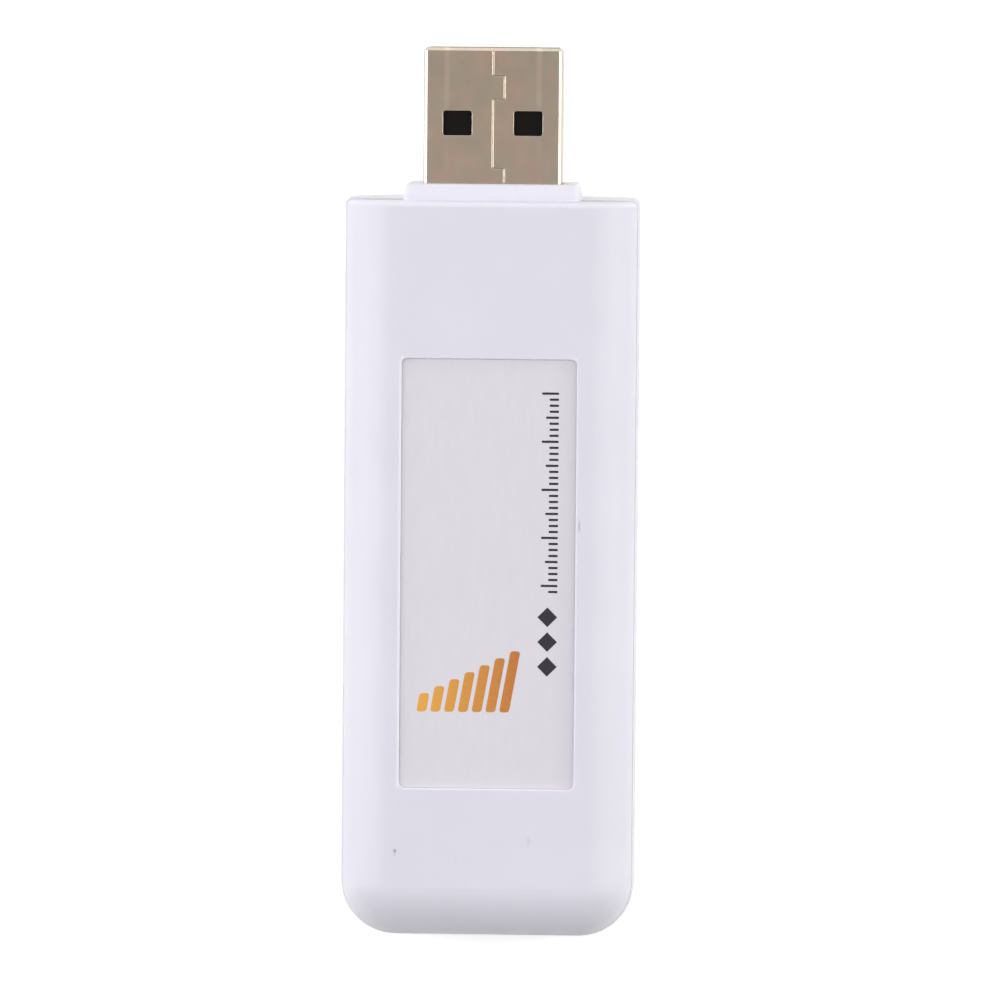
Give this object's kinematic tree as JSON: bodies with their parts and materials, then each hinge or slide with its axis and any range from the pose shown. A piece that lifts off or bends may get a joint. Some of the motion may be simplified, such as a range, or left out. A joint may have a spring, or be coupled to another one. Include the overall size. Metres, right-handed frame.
{
  "type": "usb radio adapter",
  "caption": "Slim white stick with a type A plug at one end and a recessed label, holding a short-range radio for smart home sensors.",
  "frame": {"origin": "under the middle of the whole length, on the surface that the back rests on", "axes": "+Z out of the label face, +Y out of the plug along the length, +X to the right as the label face is seen"},
  "size_m": [0.0254, 0.0772, 0.011],
  "materials": {
    "case_plastic": "fine moulded satin",
    "label_film": "printed film, matt",
    "plug_steel": "satin rolled sheet, plated",
    "black_plastic": "moulded, satin",
    "gold_plate": "gold plated",
    "board_laminate": "solder mask",
    "crystal_can": "drawn can",
    "ferrite_ceramic": "fired",
    "capacitor_ceramic": "fired",
    "resistor_ceramic": "glazed top"
  },
  "bodies": {
    "root": {"front_cover": "case_plastic", "back_cover": "case_plastic", "label": "label_film", "plug_shell": "plug_steel", "plug_insulator": "black_plastic", "contact_supply": "gold_plate", "contact_data_minus": "gold_plate", "contact_data_plus": "gold_plate", "contact_ground": "gold_plate", "circuit_board": "board_laminate", "controller_chip": "black_plastic", "transceiver_chip": "black_plastic", "memory_chip": "black_plastic", "surge_protector": "black_plastic", "voltage_regulator": "black_plastic", "clock_crystal": "crystal_can", "radio_crystal": "crystal_can", "supply_ferrite": "ferrite_ceramic", "matching_inductors": "ferrite_ceramic", "chip_capacitors": "capacitor_ceramic", "chip_resistors": "resistor_ceramic", "antenna_coil": "gold_plate"}
  },
  "joints": []
}
